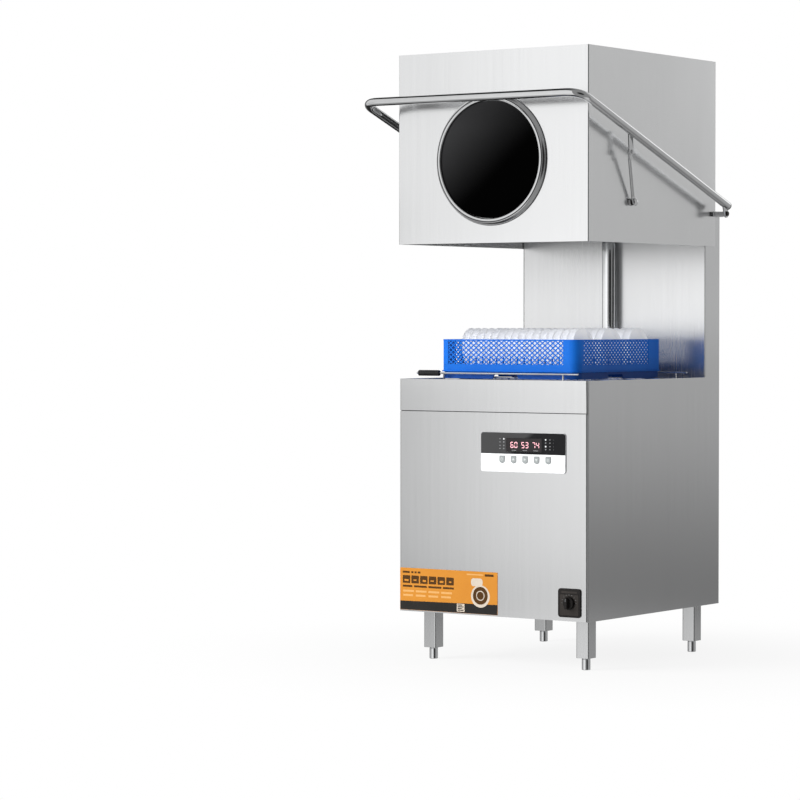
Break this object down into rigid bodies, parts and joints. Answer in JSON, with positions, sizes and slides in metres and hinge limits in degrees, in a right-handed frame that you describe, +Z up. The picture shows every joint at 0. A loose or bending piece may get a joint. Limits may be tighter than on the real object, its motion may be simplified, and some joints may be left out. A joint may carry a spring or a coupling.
{
  "type": "commercial dishwasher",
  "caption": "Lift-hood pass-through dishwasher with a round window, a U-shaped lift handle, a rear column, a cabinet on legs and a rack on its deck.",
  "frame": {"origin": "middle of the bounding box's bottom face, on the floor between the feet", "axes": "+Z up; the front with the controls faces -Y; +X is the right side seen from the front"},
  "size_m": [0.805, 0.9394, 1.858],
  "materials": {
    "side_steel": "fine satin sheet, vertical grain",
    "front_steel": "fine satin sheet, vertical grain",
    "plain_steel": "mill finish sheet",
    "splash_steel": "smooth satin sheet",
    "hood_steel": "fine satin sheet",
    "leg_steel": "satin square tube",
    "foot_chrome": "polished turned foot",
    "tank_steel": "pressed sheet",
    "rod_steel": "electropolished rod",
    "riser_chrome": "polished tube",
    "arm_steel": "pressed tube",
    "handle_chrome": "polished tube",
    "ring_chrome": "polished ring",
    "window_glass": "black glossy glass",
    "display_glass": "smoked display lens",
    "black_rubber": "ribbed rubber",
    "rack_blue": "moulded polypropylene",
    "white_plastic": "moulded",
    "fascia": "printed overlay, black above and white below",
    "circuit_board": "solder mask",
    "button_grey": "soft key",
    "black_plastic": "moulded",
    "machine_grey": "powder coat",
    "hose_rubber": "plain hose",
    "boiler_steel": "welded sheet",
    "inlet_brass": "turned",
    "drain_plastic": "moulded",
    "label_orange": "printed film"
  },
  "bodies": {
    "cabinet": {"side_panel_left": "side_steel", "side_panel_right": "side_steel", "front_top_band": "front_steel", "front_service_panel": "front_steel", "rear_panel": "plain_steel", "splash_panel": "splash_steel", "column_top_cap": "plain_steel", "base_tray": "plain_steel", "leg_front_left": "leg_steel", "leg_front_right": "leg_steel", "leg_rear_left": "leg_steel", "leg_rear_right": "leg_steel", "foot_front_left": "foot_chrome", "foot_front_right": "foot_chrome", "foot_rear_left": "foot_chrome", "foot_rear_right": "foot_chrome", "wash_tank": "tank_steel", "tank_filter": "tank_steel", "tank_heater": "rod_steel", "rack_track": "rod_steel", "track_sleeve": "black_rubber", "wash_riser": "riser_chrome", "upper_manifold": "rod_steel", "lower_manifold": "rod_steel", "wash_pump": "machine_grey", "suction_hose": "hose_rubber", "delivery_hose": "hose_rubber", "booster_boiler": "boiler_steel", "electrical_box": "machine_grey", "cable_gland": "black_plastic", "water_inlet": "inlet_brass", "drain_outlet": "drain_plastic", "control_panel": "fascia", "display_window": "display_glass", "control_board": "circuit_board", "isolator_plate": "black_plastic", "info_label": "label_orange", "pivot_bracket_left": "handle_chrome", "pivot_bracket_right": "handle_chrome"},
    "hood": {"hood_shell": "hood_steel", "hood_rear_panel": "plain_steel", "window_ring": "ring_chrome", "window_glass": "window_glass", "link_pin_left": "handle_chrome", "link_pin_right": "handle_chrome"},
    "handle": {"lift_handle": "handle_chrome"},
    "link_left": {"link_bar_left": "handle_chrome"},
    "link_right": {"link_bar_right": "handle_chrome"},
    "rack": {"dish_rack": "rack_blue"},
    "upper_wash": {"upper_wash_arm": "arm_steel"},
    "upper_rinse": {"upper_rinse_arm": "arm_steel"},
    "lower_wash": {"lower_wash_arm": "arm_steel"},
    "lower_rinse": {"lower_rinse_arm": "arm_steel"},
    "isolator": {"isolator_knob": "black_plastic"},
    "overflow": {"overflow_pipe": "white_plastic"},
    "key_1": {"button_1": "button_grey"},
    "key_2": {"button_2": "button_grey"},
    "key_3": {"button_3": "button_grey"},
    "key_4": {"button_4": "button_grey"},
    "key_5": {"button_5": "button_grey"}
  },
  "joints": [
    {"name": "hood_lift", "type": "slide", "parent": "cabinet", "child": "hood", "axis": [0, 0, 1], "range_m": [-0.4115, 0]},
    {"name": "handle_swing", "type": "hinge", "parent": "cabinet", "child": "handle", "pos_m": [0, 0.40575, 1.38], "axis": [1, 0, 0], "range_deg": [0, 40.58]},
    {"name": "link_left_swing", "type": "hinge", "parent": "hood", "child": "link_left", "pos_m": [-0.3525, -0.09275, 1.4015], "axis": [1, 0, 0], "range_deg": [-9.4, 0]},
    {"name": "link_right_swing", "type": "hinge", "parent": "hood", "child": "link_right", "pos_m": [0.3525, -0.09275, 1.4015], "axis": [1, 0, 0], "range_deg": [-9.4, 0]},
    {"name": "rack_slide", "type": "slide", "parent": "cabinet", "child": "rack", "axis": [1, 0, 0], "range_m": [-0.64, 0.64]},
    {"name": "upper_wash_spin", "type": "hinge", "parent": "cabinet", "child": "upper_wash", "pos_m": [0, 0.00275, 1.35], "axis": [0, 0, 1], "continuous": true},
    {"name": "upper_rinse_spin", "type": "hinge", "parent": "cabinet", "child": "upper_rinse", "pos_m": [0, 0.00275, 1.324], "axis": [0, 0, 1], "continuous": true},
    {"name": "lower_wash_spin", "type": "hinge", "parent": "cabinet", "child": "lower_wash", "pos_m": [0, 0.00275, 0.811], "axis": [0, 0, 1], "continuous": true},
    {"name": "lower_rinse_spin", "type": "hinge", "parent": "cabinet", "child": "lower_rinse", "pos_m": [0, 0.00275, 0.837], "axis": [0, 0, 1], "continuous": true},
    {"name": "key_1_press", "type": "slide", "parent": "cabinet", "child": "key_1", "axis": [0, 1, 0], "range_m": [0, 0.0012], "stiffness_N_per_m": 600, "springref_m": -0.0005},
    {"name": "key_2_press", "type": "slide", "parent": "cabinet", "child": "key_2", "axis": [0, 1, 0], "range_m": [0, 0.0012], "stiffness_N_per_m": 600, "springref_m": -0.0005},
    {"name": "key_3_press", "type": "slide", "parent": "cabinet", "child": "key_3", "axis": [0, 1, 0], "range_m": [0, 0.0012], "stiffness_N_per_m": 600, "springref_m": -0.0005},
    {"name": "key_4_press", "type": "slide", "parent": "cabinet", "child": "key_4", "axis": [0, 1, 0], "range_m": [0, 0.0012], "stiffness_N_per_m": 600, "springref_m": -0.0005},
    {"name": "key_5_press", "type": "slide", "parent": "cabinet", "child": "key_5", "axis": [0, 1, 0], "range_m": [0, 0.0012], "stiffness_N_per_m": 600, "springref_m": -0.0005},
    {"name": "isolator_turn", "type": "hinge", "parent": "cabinet", "child": "isolator", "pos_m": [0.2795, -0.35125, 0.2075], "axis": [0, -1, 0], "range_deg": [-90, 0]},
    {"name": "overflow_lift", "type": "slide", "parent": "cabinet", "child": "overflow", "axis": [0, 0, 1], "range_m": [0, 0.075]}
  ],
  "couplings": [
    {"joint": "handle_swing", "follows": "hood_lift", "rad_per_m": -1.7188},
    {"joint": "link_left_swing", "follows": "hood_lift", "rad_per_m": 0.39791},
    {"joint": "link_right_swing", "follows": "hood_lift", "rad_per_m": 0.39791}
  ]
}
